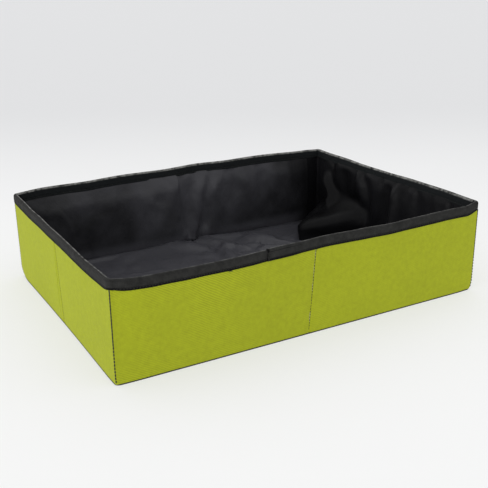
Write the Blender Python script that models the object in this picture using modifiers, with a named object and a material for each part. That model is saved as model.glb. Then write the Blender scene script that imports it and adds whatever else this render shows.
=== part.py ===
"""Foldable fabric tray for pet litter, open at the top.

The tray stands on its bottom panel, centred on the origin, front wall at -Y, left wall at -X.
Each wall is two stiff boards in a green cloth cover with a loose black lining, and a binding
tape runs round the rim. The short walls fold inward at their middle seams, which brings the
back wall up against the front wall. Metres, +Z up.
"""

import bpy
import bmesh
from math import cos, exp, pi, radians, sin
from mathutils import Matrix, Vector

# Overall size, over the binding tape
LENGTH = 0.500
WIDTH = 0.360
HEIGHT = 0.118

# Layers of a wall, from the outside in
TAPE_THICKNESS = 0.0007
COVER_THICKNESS = 0.0005
BOARD_THICKNESS = 0.0015
LINING_THICKNESS = 0.0004
CLEARANCE = 0.0003

# Binding tape
TAPE_DROP = 0.0128
TAPE_TOP_ROUND = 0.0012
TAPE_TOP_STEPS = 2

# Corners and fold seams
INNER_CORNER_RADIUS = 0.0008
CORNER_STEPS = 6
HINGE_CLEARANCE = 0.001
SEAM_WIDTH = 0.006
SEAM_DEPTH = 0.0009
SEAM_GAP = 0.0003
BOARD_SIDE_CLEARANCE = 0.0008
BOARD_TOP_CLEARANCE = 0.0015
EDGE_ROUND = 0.00012

# Bottom panel and the loose lining
BOTTOM_THICKNESS = 0.0008
FOLD_HEIGHT = 0.0055
FOLD_WIDTH = 0.011
FLOOR_FOLD_HEIGHT = 0.0050
FLOOR_FOLD_WIDTH = 0.016
FOLD_MARGIN = 0.012
LINING_CELL = 0.0115
FLOOR_CELL = 0.024

# Places through the wall, measured inward from the tape's outer face
COVER_OUTER = TAPE_THICKNESS + CLEARANCE
COVER_INNER = COVER_OUTER + COVER_THICKNESS
BOARD_OUTER = COVER_INNER + CLEARANCE
BOARD_INNER = BOARD_OUTER + BOARD_THICKNESS
LINING_OUTER = BOARD_INNER + CLEARANCE
LINING_INNER = LINING_OUTER + LINING_THICKNESS
TAPE_INNER = LINING_INNER + CLEARANCE + TAPE_THICKNESS

# Each wall's flat stretch ends where the rounded corner starts
CORNER_RADIUS = TAPE_INNER + INNER_CORNER_RADIUS
CORNER_HINGE_INSET = TAPE_INNER + HINGE_CLEARANCE
SEAM_HINGE_OUTSET = HINGE_CLEARANCE

# Heights
WALL_FOOT = BOTTOM_THICKNESS + CLEARANCE
FLOOR_LINING_TOP = WALL_FOOT + LINING_THICKNESS
LINING_FOOT = FLOOR_LINING_TOP + CLEARANCE
UNDER_TAPE = HEIGHT - TAPE_THICKNESS - CLEARANCE
BOARD_TOP = UNDER_TAPE - BOARD_TOP_CLEARANCE
TAPE_FOOT = HEIGHT - TAPE_DROP

# The folds of the lining. Each is a soft ridge between two places on its panel, as (start along,
# start up, end along, end up, height, width) in shares of the panel's length, its height, the
# fold height and the fold width. Along runs counterclockwise round the tray, seen from above
FRONT_LEFT_FOLD_SHARES = [
    (0.20, 0.72, 0.80, 0.78, 0.50, 1.2),
]
FRONT_RIGHT_FOLD_SHARES = [
    (0.18, 0.78, 0.72, 0.70, 0.50, 1.2),
]
RIGHT_FRONT_FOLD_SHARES = [
    (0.86, 0.84, 0.84, 0.40, 0.55, 0.8),
    (0.30, 0.66, 0.58, 0.34, 0.45, 1.2),
]
RIGHT_BACK_FOLD_SHARES = [
    (0.90, 0.88, 0.68, 0.50, 1.00, 0.8),
    (0.34, 0.88, 0.28, 0.60, 0.45, 0.9),
    (0.88, 0.14, 0.60, 0.16, 0.50, 1.0),
]
BACK_RIGHT_FOLD_SHARES = [
    (0.78, 0.90, 0.72, 0.34, 1.00, 0.7),
    (0.66, 0.90, 0.57, 0.50, 0.90, 0.7),
    (0.57, 0.50, 0.15, 0.12, 0.60, 1.0),
]
BACK_LEFT_FOLD_SHARES = [
    (0.03, 0.84, 0.62, 0.86, 0.90, 0.9),
    (0.10, 0.14, 0.30, 0.52, 0.50, 1.1),
]
LEFT_BACK_FOLD_SHARES = [
    (0.20, 0.76, 0.74, 0.70, 0.50, 1.2),
]
LEFT_FRONT_FOLD_SHARES = [
    (0.24, 0.70, 0.78, 0.76, 0.50, 1.2),
]

# The folds of the floor lining, as above, along and across in shares of its length and width
FLOOR_FOLD_SHARES = [
    (0.12, 0.62, 0.24, 0.90, 0.60, 1.2),
    (0.30, 0.92, 0.40, 0.36, 0.75, 1.0),
    (0.50, 0.30, 0.60, 0.90, 0.75, 1.0),
    (0.72, 0.90, 0.88, 0.76, 1.00, 0.8),
    (0.72, 0.26, 0.90, 0.44, 0.55, 1.2),
    (0.14, 0.20, 0.36, 0.24, 0.50, 1.2),
]

# Walls in the order they follow each other counterclockwise, seen from above: name, quarter
# turns from the front wall, then its clockwise and counterclockwise halves with their folds
WALLS = [
    ("front", 0, ("left", FRONT_LEFT_FOLD_SHARES), ("right", FRONT_RIGHT_FOLD_SHARES)),
    ("right", 1, ("front", RIGHT_FRONT_FOLD_SHARES), ("back", RIGHT_BACK_FOLD_SHARES)),
    ("back", 2, ("right", BACK_RIGHT_FOLD_SHARES), ("left", BACK_LEFT_FOLD_SHARES)),
    ("left", 3, ("back", LEFT_BACK_FOLD_SHARES), ("front", LEFT_FRONT_FOLD_SHARES)),
]
LONG_WALLS = ("front", "back")

COVER_GREEN = (0.292, 0.352, 0.018)
TAPE_CHARCOAL = (0.042, 0.042, 0.040)
LINING_BLACK = (0.014, 0.014, 0.016)
BOARD_GREY = (0.55, 0.54, 0.50)
BOTTOM_BLACK = (0.018, 0.018, 0.018)


def clear_scene():
    for obj in list(bpy.data.objects):
        bpy.data.objects.remove(obj, do_unlink=True)


def make_material(name, color, roughness):
    material = bpy.data.materials.new(name)
    material.use_nodes = True
    shader = material.node_tree.nodes["Principled BSDF"]
    shader.inputs["Base Color"].default_value = (*color, 1.0)
    shader.inputs["Roughness"].default_value = roughness
    shader.inputs["Metallic"].default_value = 0.0
    return material


def make_collection(name):
    collection = bpy.data.collections.new(name)
    bpy.context.scene.collection.children.link(collection)
    return collection


def half_length(wall):
    """Half the wall's length over the tape."""
    return LENGTH / 2 if wall in LONG_WALLS else WIDTH / 2


def wall_distance(wall):
    """How far the wall's outer tape face stands from the tray's middle."""
    return WIDTH / 2 if wall in LONG_WALLS else LENGTH / 2


def wall_matrix(wall, quarter_turns):
    """The wall's frame: X along it, Y inward, Z up, origin at the foot of its outer tape face."""
    turn = Matrix.Rotation(radians(90) * quarter_turns, 4, "Z")
    return turn @ Matrix.Translation((0, -wall_distance(wall), 0))


def make_hinges(collection):
    """Empties on the joint axes. Each carries one rigid stretch of the tray."""
    corner_x = LENGTH / 2 - CORNER_HINGE_INSET
    corner_y = WIDTH / 2 - CORNER_HINGE_INSET
    seam_x = LENGTH / 2 + SEAM_HINGE_OUTSET
    places = [
        ("front_wall", None, (0, 0)),
        ("left_wall_front", "front_wall", (-corner_x, -corner_y)),
        ("left_wall_back", "left_wall_front", (-seam_x, 0)),
        ("back_wall", "left_wall_back", (-corner_x, corner_y)),
        ("right_wall_back", "back_wall", (corner_x, corner_y)),
        ("right_wall_front", "front_wall", (corner_x, -corner_y)),
    ]
    hinges = {}
    for name, parent, (x, y) in places:
        empty = bpy.data.objects.new(name + "_hinge", None)
        collection.objects.link(empty)
        place = Vector((x, y, 0))
        if parent:
            empty.parent = hinges[parent][0]
            empty.location = place - hinges[parent][1]
        hinges[name] = (empty, place)
    return hinges


def body_of(wall, half):
    """The rigid stretch that a wall's half belongs to. A long wall is one stretch."""
    return f"{wall}_wall" if wall in LONG_WALLS else f"{wall}_wall_{half}"


def add_piece(tray, name, mesh_maker, slot, body, frame):
    """One named object, drawn in its wall's frame, with its origin on its body's hinge."""
    bm = bmesh.new()
    mesh_maker(bm)
    mesh = bpy.data.meshes.new(name)
    bm.to_mesh(mesh)
    bm.free()
    mesh.shade_smooth()
    mesh.set_sharp_from_angle(angle=radians(35))
    mesh.materials.append(tray["materials"][slot])
    hinge, place = tray["hinges"][body]
    mesh.transform(Matrix.Translation(-(frame.inverted() @ place)))
    obj = bpy.data.objects.new(name, mesh)
    tray["collection"].objects.link(obj)
    obj.parent = hinge
    obj.rotation_euler = frame.to_euler()
    return obj


def add_bevel(obj):
    bevel = obj.modifiers.new("Rounded edges", "BEVEL")
    bevel.width = EDGE_ROUND
    bevel.segments = 1
    bevel.limit_method = "ANGLE"
    bevel.angle_limit = radians(40)


def block(bm, low, high):
    """A box between two corners."""
    cube = bmesh.ops.create_cube(bm, size=1.0)
    size = Vector(high) - Vector(low)
    middle = (Vector(high) + Vector(low)) / 2
    bmesh.ops.scale(bm, vec=size, verts=cube["verts"])
    bmesh.ops.translate(bm, vec=middle, verts=cube["verts"])


def face_from(bm, points):
    return bm.faces.new([bm.verts.new(point) for point in points])


def extrude_outline(bm, points, vector):
    """A solid between a flat outline and its copy moved by a vector."""
    face = face_from(bm, points)
    grown = bmesh.ops.extrude_face_region(bm, geom=[face], use_keep_orig=True)
    verts = [item for item in grown["geom"] if isinstance(item, bmesh.types.BMVert)]
    bmesh.ops.translate(bm, vec=vector, verts=verts)
    bmesh.ops.recalc_face_normals(bm, faces=bm.faces)


def arc_points(centre, radius, start, end, steps):
    """Points along an arc in a plane, angles in radians."""
    angles = [start + (end - start) * step / steps for step in range(steps + 1)]
    return [(centre[0] + radius * cos(a), centre[1] + radius * sin(a)) for a in angles]


def tape_section():
    """The tape's outline across the rim, as (inward, up): a U turned over, with a round top."""
    centre_up = HEIGHT - TAPE_TOP_ROUND
    outer_leg = TAPE_THICKNESS
    inner_leg = TAPE_INNER - TAPE_THICKNESS
    outline = [(0, TAPE_FOOT)]
    outline += arc_points((TAPE_TOP_ROUND, centre_up), TAPE_TOP_ROUND, pi, pi / 2, TAPE_TOP_STEPS)
    outline += arc_points(
        (TAPE_INNER - TAPE_TOP_ROUND, centre_up), TAPE_TOP_ROUND, pi / 2, 0, TAPE_TOP_STEPS
    )
    outline += [(TAPE_INNER, TAPE_FOOT), (inner_leg, TAPE_FOOT)]
    outline += [(inner_leg, HEIGHT - TAPE_THICKNESS), (outer_leg, HEIGHT - TAPE_THICKNESS)]
    outline += [(outer_leg, TAPE_FOOT)]
    return outline


def layer_section(outer, inner, foot):
    """A flat layer's outline across the wall, as (inward, up), up to under the tape."""
    return [(outer, foot), (outer, UNDER_TAPE), (inner, UNDER_TAPE), (inner, foot)]


def sweep_corner(bm, section):
    """Turns a section through the rounded corner, in a frame with the sharp corner at its origin."""
    face = face_from(bm, [(CORNER_RADIUS, inward, up) for inward, up in section])
    bmesh.ops.spin(
        bm,
        geom=[face, *face.edges, *face.verts],
        cent=(CORNER_RADIUS, CORNER_RADIUS, 0),
        axis=(0, 0, -1),
        angle=radians(90),
        steps=CORNER_STEPS,
    )
    bmesh.ops.recalc_face_normals(bm, faces=bm.faces)


def smooth_step(value):
    value = min(max(value, 0.0), 1.0)
    return value * value * (3 - 2 * value)


def distance_to_segment(point, start, end):
    along = end - start
    share = (point - start).dot(along) / along.length_squared
    nearest = start + along * min(max(share, 0.0), 1.0)
    return (point - nearest).length


def fold_lift(point, size, fold_shares, height, width):
    """How far the cloth stands off at a point of a panel: soft ridges, flat at the edges."""
    lift = 0.0
    for start_x, start_y, end_x, end_y, height_share, width_share in fold_shares:
        start = Vector((start_x * size.x, start_y * size.y))
        end = Vector((end_x * size.x, end_y * size.y))
        away = distance_to_segment(point, start, end) / (width * width_share)
        lift = max(lift, height * height_share * exp(-away * away))
    edge = min(point.x, size.x - point.x, point.y, size.y - point.y)
    return lift * smooth_step(edge / FOLD_MARGIN)


def cloth_grid(bm, size, cell, hem):
    """A grid of cloth cells from the origin, with one more row for a hem at its top.

    Returns each vertex with its place on the panel."""
    columns = max(round(size.x / cell), 2)
    rows = max(round(size.y / cell), 2)
    hem_rows = 1 if hem else 0
    grid = bmesh.ops.create_grid(bm, x_segments=columns, y_segments=rows + hem_rows, size=0.5)
    places = []
    for vert in grid["verts"]:
        row = round((vert.co.y + 0.5) * (rows + hem_rows))
        up = size.y + hem if row > rows else size.y * row / rows
        places.append((vert, Vector(((vert.co.x + 0.5) * size.x, up))))
    return places


def add_cloth_thickness(obj):
    solidify = obj.modifiers.new("Cloth", "SOLIDIFY")
    solidify.thickness = LINING_THICKNESS
    solidify.offset = 1.0


def add_half_wall(tray, wall, half, fold_shares, side, frame):
    """Board, cover, tape and lining of one half of a wall. side is -1 or 1 along the wall."""
    body = body_of(wall, half)
    corner_side = half_length(wall) - CORNER_RADIUS - CLEARANCE
    board_side = corner_side - BOARD_SIDE_CLEARANCE
    seam_side = SEAM_WIDTH / 2 + CLEARANCE
    rim = sorted((side * SEAM_GAP / 2, side * corner_side))
    cover_ends = sorted((side * seam_side, side * corner_side))
    board_ends = sorted((side * seam_side, side * board_side))

    def cover(bm):
        block(bm, (cover_ends[0], COVER_OUTER, WALL_FOOT), (cover_ends[1], COVER_INNER, UNDER_TAPE))

    def board(bm):
        block(bm, (board_ends[0], BOARD_OUTER, WALL_FOOT), (board_ends[1], BOARD_INNER, BOARD_TOP))

    def tape(bm):
        points = [(rim[0], inward, up) for inward, up in tape_section()]
        extrude_outline(bm, points, (rim[1] - rim[0], 0, 0))

    def lining(bm):
        panel = Vector((rim[1] - rim[0], TAPE_FOOT - LINING_FOOT))
        for vert, place in cloth_grid(bm, panel, LINING_CELL, UNDER_TAPE - TAPE_FOOT):
            lift = fold_lift(place, panel, fold_shares, FOLD_HEIGHT, FOLD_WIDTH)
            vert.co = (rim[0] + place.x, LINING_OUTER + lift, LINING_FOOT + place.y)
        bmesh.ops.reverse_faces(bm, faces=bm.faces)

    prefix = f"{wall}_wall"
    add_bevel(add_piece(tray, f"{prefix}_cover_{half}", cover, "cover", body, frame))
    add_bevel(add_piece(tray, f"{prefix}_board_{half}", board, "board", body, frame))
    add_piece(tray, f"{prefix}_tape_{half}", tape, "tape", body, frame)
    add_cloth_thickness(add_piece(tray, f"{prefix}_lining_{half}", lining, "lining", body, frame))


def add_seam(tray, wall, half, frame):
    """The cover's pressed and stitched crease at a wall's middle, between the two boards."""
    side = SEAM_WIDTH / 2
    outline = [(-side, COVER_OUTER), (0, COVER_OUTER + SEAM_DEPTH), (side, COVER_OUTER)]
    outline += [(side, COVER_INNER), (0, COVER_INNER + SEAM_DEPTH), (-side, COVER_INNER)]

    def seam(bm):
        points = [(along, inward, WALL_FOOT) for along, inward in outline]
        extrude_outline(bm, points, (0, 0, UNDER_TAPE - WALL_FOOT))

    add_piece(tray, f"{wall}_wall_seam", seam, "cover", body_of(wall, half), frame)


def add_corner(tray, wall, half, frame):
    """Cover, lining and tape where they turn the corner at a wall's clockwise end."""
    corner = frame @ Matrix.Translation((-half_length(wall), 0, 0))
    long_wall = wall if wall in LONG_WALLS else half
    short_wall = half if wall in LONG_WALLS else wall
    name = f"{long_wall}_{short_wall}"
    body = f"{long_wall}_wall"
    sections = [
        ("cover", "cover", layer_section(COVER_OUTER, COVER_INNER, WALL_FOOT)),
        ("lining", "lining", layer_section(LINING_OUTER, LINING_INNER, LINING_FOOT)),
        ("tape", "tape", tape_section()),
    ]
    for piece, slot, section in sections:

        def turn(bm, section=section):
            sweep_corner(bm, section)

        add_piece(tray, f"corner_{piece}_{name}", turn, slot, body, corner)


def add_bottom_panel(tray):
    """The cloth panel that the tray stands on, as wide as the cover, with rounded corners."""
    reach = Vector((LENGTH / 2 - COVER_OUTER, WIDTH / 2 - COVER_OUTER))

    def panel(bm):
        block(bm, (-reach.x, -reach.y, 0), (reach.x, reach.y, BOTTOM_THICKNESS))
        upright = [edge for edge in bm.edges if is_upright(edge)]
        bmesh.ops.bevel(
            bm,
            geom=upright,
            offset=CORNER_RADIUS - COVER_OUTER,
            segments=CORNER_STEPS,
            profile=0.5,
            affect="EDGES",
        )

    add_piece(tray, "bottom_panel", panel, "bottom", "front_wall", Matrix.Identity(4))


def is_upright(edge):
    direction = edge.verts[1].co - edge.verts[0].co
    return direction.x == 0 and direction.y == 0


def add_floor_lining(tray):
    """The loose lining of the floor, its edges under the wall linings."""
    size = Vector((LENGTH - 2 * LINING_OUTER, WIDTH - 2 * LINING_OUTER))

    def cloth(bm):
        for vert, place in cloth_grid(bm, size, FLOOR_CELL, 0):
            lift = fold_lift(place, size, FLOOR_FOLD_SHARES, FLOOR_FOLD_HEIGHT, FLOOR_FOLD_WIDTH)
            vert.co = (place.x - size.x / 2, place.y - size.y / 2, WALL_FOOT + lift)

    piece = add_piece(tray, "floor_lining", cloth, "lining", "front_wall", Matrix.Identity(4))
    add_cloth_thickness(piece)


def main():
    clear_scene()
    collection = make_collection("litter_tray")
    tray = {
        "collection": collection,
        "hinges": make_hinges(collection),
        "materials": {
            "cover": make_material("cover_cloth", COVER_GREEN, 0.75),
            "tape": make_material("binding_tape", TAPE_CHARCOAL, 0.8),
            "lining": make_material("lining_cloth", LINING_BLACK, 0.45),
            "board": make_material("stiff_board", BOARD_GREY, 0.6),
            "bottom": make_material("bottom_cloth", BOTTOM_BLACK, 0.7),
        },
    }
    for wall, quarter_turns, clockwise, counterclockwise in WALLS:
        frame = wall_matrix(wall, quarter_turns)
        add_half_wall(tray, wall, *clockwise, -1, frame)
        add_half_wall(tray, wall, *counterclockwise, 1, frame)
    for wall, quarter_turns, (half, _), _ in WALLS:
        frame = wall_matrix(wall, quarter_turns)
        add_seam(tray, wall, half, frame)
        add_corner(tray, wall, half, frame)
    add_bottom_panel(tray)
    add_floor_lining(tray)


main()
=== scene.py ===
"""Looks of a foldable fabric litter tray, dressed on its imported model.

The green cover, the rim tape, the loose black lining and the boards are made here as the soft tray
has them: the long walls lean out, the lining hangs in folds and every seam is stitched. A place on
the tray is (along, depth, up): along the walls counterclockwise from a corner, seen from above,
inward from the tape's outer face, and up from the floor. Metres, +Z up.
"""

from math import ceil, copysign, cos, exp, hypot, pi, radians, sin, sqrt, tanh

import bmesh
import bpy
from bpy.props import FloatProperty, FloatVectorProperty, PointerProperty
from mathutils import Matrix, Vector, noise


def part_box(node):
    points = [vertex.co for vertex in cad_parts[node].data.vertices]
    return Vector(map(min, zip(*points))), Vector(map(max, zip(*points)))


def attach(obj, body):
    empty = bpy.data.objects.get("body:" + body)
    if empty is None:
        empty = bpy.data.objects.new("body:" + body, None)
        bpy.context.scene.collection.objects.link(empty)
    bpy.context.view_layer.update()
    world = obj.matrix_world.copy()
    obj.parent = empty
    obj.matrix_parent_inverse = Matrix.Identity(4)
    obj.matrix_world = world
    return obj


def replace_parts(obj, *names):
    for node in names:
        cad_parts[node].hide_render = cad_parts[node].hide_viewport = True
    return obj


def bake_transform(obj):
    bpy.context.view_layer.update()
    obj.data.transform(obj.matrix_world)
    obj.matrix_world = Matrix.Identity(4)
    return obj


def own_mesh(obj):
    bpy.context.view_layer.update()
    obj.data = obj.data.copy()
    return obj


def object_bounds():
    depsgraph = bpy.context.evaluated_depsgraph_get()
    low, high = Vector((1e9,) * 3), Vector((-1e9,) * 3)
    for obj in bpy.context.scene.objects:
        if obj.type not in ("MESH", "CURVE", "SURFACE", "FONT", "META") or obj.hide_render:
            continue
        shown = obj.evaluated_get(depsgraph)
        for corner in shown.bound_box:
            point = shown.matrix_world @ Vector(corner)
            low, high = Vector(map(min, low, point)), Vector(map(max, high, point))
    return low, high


bl_info = {
    "name": "Fabric litter tray",
    "version": (1, 0, 0),
    "blender": (4, 5, 0),
    "location": "3D View > Sidebar > Tray",
    "description": "Dresses the boards of a foldable litter tray in cloth, tape and thread",
    "category": "Object",
}

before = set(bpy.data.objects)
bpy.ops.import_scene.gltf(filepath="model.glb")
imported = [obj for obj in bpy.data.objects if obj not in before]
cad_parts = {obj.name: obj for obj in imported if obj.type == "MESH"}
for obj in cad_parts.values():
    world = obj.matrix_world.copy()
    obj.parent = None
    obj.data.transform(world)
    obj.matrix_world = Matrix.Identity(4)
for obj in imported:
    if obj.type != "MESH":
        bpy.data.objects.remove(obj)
LOW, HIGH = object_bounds()
TAPE, COVER, BOARD, LINING = (
    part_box(f"front_wall_{layer}_left") for layer in ("tape", "cover", "board", "lining")
)

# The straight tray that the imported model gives
LENGTH = HIGH.x - LOW.x
WIDTH = HIGH.y - LOW.y
HEIGHT = HIGH.z
CORNER_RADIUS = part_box("corner_tape_front_left")[1].x - LOW.x
ARC = CORNER_RADIUS * pi / 2
TAPE_FOOT = TAPE[0].z
TAPE_INNER = TAPE[1].y - LOW.y
TAPE_REACH = 2 * (HEIGHT - TAPE_FOOT) + TAPE_INNER
COVER_OUTER = COVER[0].y - LOW.y
COVER_FOOT, COVER_TOP = (corner.z for corner in COVER)
BOARD_OUTER, BOARD_INNER = (corner.y - LOW.y for corner in BOARD)
BOARD_FOOT, BOARD_TOP = (corner.z for corner in BOARD)
BOARD_END = LENGTH / 2 + BOARD[0].x
BOARD_GAP = -BOARD[1].x
LINING_OUTER = LINING[0].y - LOW.y
LINING_FOOT = LINING[0].z
FLOOR_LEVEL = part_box("floor_lining")[0].z

LONG_WALLS = ("front", "back")
TINY = 1e-6

# Cells of the cloth: along the cover and its creases, the tape, the strips over a fold, the boards
COVER_CELL = 0.0040
CREASE_CELL = 0.0009
TAPE_CELL = 0.0028
STRIP_CELL = 0.0008
BOARD_CELL = 0.006

# How far the lining's corner pieces and its strip over the left fold reach, in half cells
CORNER_STEPS = 6
STRIP_STEPS = 2

# Where the tray's shape sets in toward its long and short walls, as (start, reach) in shares of its
# width and length
LONG_ZONE = (0.36, 0.1)
SHORT_ZONE = (0.45, 0.045)

# The smooth wanders of the cloth, as (how quick, per metre, and where in the noise it starts)
WANDERS = {
    "rim_wave": (19, 3.7),
    "rim_dip": (17, 9.1),
    "cover_puff": (24, 1.3),
    "tape_puff": (45, 5.0),
    "tape_wave": (38, 2.0),
}

# The cover lies flat this near a crease and a corner, and the tape presses its corners in
CREASE_FLAT = 0.012
CORNER_FLAT = 0.01
CORNER_PRESS = 0.0006
CORNER_PRESS_REACH = 0.008

# Where the left wall's crease starts, from its fold, and how far it slants
LEFT_CREASE_START = 0.0035
LEFT_CREASE_SLANT = 0.0075

# The tape's stitched groove, with its depth in shares of the swell, how high above its edges the
# tape wanders, its pull at the corners, and the gap under its lap
GROOVE_WIDTH = 0.0009
GROOVE_DEPTH = 1.4
TAPE_WAVE_HEIGHT = 0.006
CORNER_PULL = 0.0018
CORNER_PULL_REACH = 0.009
LAP_GAP = 0.0002

# Bands of the tape with finer cells, at its feet and its top
TAPE_FOOT_BAND = 0.004
TAPE_TOP_BAND = 0.0055

# The fall of the lining, the box of the tray's inside that it falls into, and up to what height the
# slump is widest
BAG_FRAMES = 36
BOX_ROOM = 0.0004
BOX_HALF = 0.15
BOX_SINK = 0.001
SLUMP_FOOT = 0.02

# How the fallen lining is held: where its room fades out and how tight it is under the tape
ROOM_FADE = 0.03
FOLD_FADE = 0.025
LEAN_ROOM = 0.9
TIGHT_SHARE = 0.15
TIGHT_HEIGHT = 0.026
LEAST_ROOM = 0.0003
FLOOR_ROOM = 1.5

# Where the loose stitches on the rim are, from the start of the lapped tape
RIM_STITCHES = (0.0075, 0.0105, 0.0135, 0.0165)

# The studio: the lamp's size and the camera's yaw, pitch and roll are in degrees, its lens in mm
FLOOR_GLOW = 0.55
LAMP_STRENGTH = 0.75
LAMP_SIZE = 12
LAMP_FROM = (-1.0, -0.12, 0.10)
CAMERA_PLACE = (-0.4936, -0.8880, 0.4255)
CAMERA_TURNS = (60.62, 20.05, -0.65)
CAMERA_LENS = 59.67

# How far the long walls' rims lean out, as (place along X, lean) in shares of half the length
# and of that wall's lean
LEAN_SHARES = {
    "front": [
        (-0.976, 0.0), (-0.94, 0.30), (-0.86, 0.78), (-0.74, 0.93), (-0.58, 1.0), (-0.40, 0.99),
        (-0.27, 0.84), (-0.12, 0.66), (0.0, 0.56), (0.14, 0.57), (0.28, 0.60), (0.42, 0.56),
        (0.58, 0.44), (0.74, 0.32), (0.90, 0.16), (0.976, 0.0),
    ],
    "back": [
        (-0.976, 0.0), (-0.92, 0.36), (-0.80, 0.66), (-0.62, 0.88), (-0.34, 0.94), (0.0, 1.0),
        (0.30, 0.96), (0.50, 0.92), (0.69, 0.66), (0.88, 0.32), (0.976, 0.0),
    ],
}

# How far the front rim and the short walls' rims rise, as (place along the wall's axis, rise) in
# shares of half the wall's length and of the rise
RISE_SHARES = {
    "front": [
        (-0.976, 0.0), (-0.90, 0.7), (-0.80, 0.6), (-0.65, 0.8), (-0.52, 0.65), (-0.36, 0.8),
        (-0.24, 0.85), (-0.10, 1.3), (0.0, 1.3), (0.24, 1.0), (0.38, 0.1), (0.55, 0.8),
        (0.70, 0.7), (0.90, 0.0), (0.976, 0.0),
    ],
    "left": [
        (-1.0, 0.9), (-0.88, 0.3), (-0.60, -0.6), (-0.10, -0.5), (0.30, -0.4), (0.50, -0.6),
        (0.70, -0.1), (1.0, 0.3),
    ],
    "right": [
        (-1.0, 1.7), (-0.70, 1.8), (-0.50, 1.6), (-0.30, 1.2), (0.0, 0.5), (0.40, -0.1), (1.0, -0.3),
    ],
}

# How far each corner's foot is drawn in, in shares of the tuck
TUCK_SHARES = {(-1, -1): 0.2, (1, -1): 0.3, (1, 1): 0.5, (-1, 1): 0.55}

# The lining's main folds, as (start along, start up, end along, end up, height, width): places in
# shares of the panel, heights and widths in shares of the fold's
FOLD_SHARES = {
    ("front", "left"): [(0.20, 0.72, 0.80, 0.78, 0.50, 1.2)],
    ("front", "right"): [(0.18, 0.78, 0.72, 0.70, 0.50, 1.2)],
    ("right", "front"): [(0.86, 0.84, 0.84, 0.40, 0.55, 0.8), (0.30, 0.66, 0.58, 0.34, 0.45, 1.2)],
    ("right", "back"): [
        (0.90, 0.88, 0.68, 0.50, 1.00, 0.8),
        (0.34, 0.88, 0.28, 0.60, 0.45, 0.9),
        (0.88, 0.14, 0.60, 0.16, 0.50, 1.0),
    ],
    ("back", "right"): [
        (0.86, 0.96, 0.94, 0.10, 1.00, 0.6),
        (0.73, 0.97, 0.78, 0.72, 0.90, 0.6),
        (0.59, 0.97, 0.55, 0.64, 1.00, 0.6),
        (0.39, 0.96, 0.26, 0.75, 0.90, 0.8),
        (0.26, 0.75, 0.10, 0.20, 0.90, 0.8),
    ],
    ("back", "left"): [
        (0.00, 0.94, 0.35, 0.88, 1.00, 1.0),
        (0.35, 0.88, 0.80, 0.92, 1.00, 1.0),
        (0.10, 0.14, 0.30, 0.52, 0.60, 0.9),
        (0.76, 0.80, 0.70, 0.30, 0.60, 0.9),
    ],
    ("left", "back"): [(0.20, 0.76, 0.74, 0.70, 0.50, 1.2)],
    ("left", "front"): [(0.24, 0.70, 0.78, 0.76, 0.50, 1.2)],
}
FLOOR_FOLD_SHARES = [
    (0.12, 0.62, 0.24, 0.90, 0.60, 1.2),
    (0.30, 0.92, 0.40, 0.36, 0.75, 1.0),
    (0.50, 0.30, 0.60, 0.90, 0.75, 1.0),
    (0.72, 0.90, 0.88, 0.76, 1.00, 0.8),
    (0.72, 0.26, 0.90, 0.44, 0.55, 1.2),
    (0.14, 0.20, 0.36, 0.24, 0.50, 1.2),
]


def length(name, description, default, least=0.0):
    return FloatProperty(
        name=name, description=description, default=default, min=least, unit="LENGTH", precision=5
    )


def number(name, description, default):
    return FloatProperty(name=name, description=description, default=default, min=0, subtype="UNSIGNED")


def paint(name, description, default):
    return FloatVectorProperty(
        name=name, description=description, default=default, subtype="COLOR", min=0, max=1
    )


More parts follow.
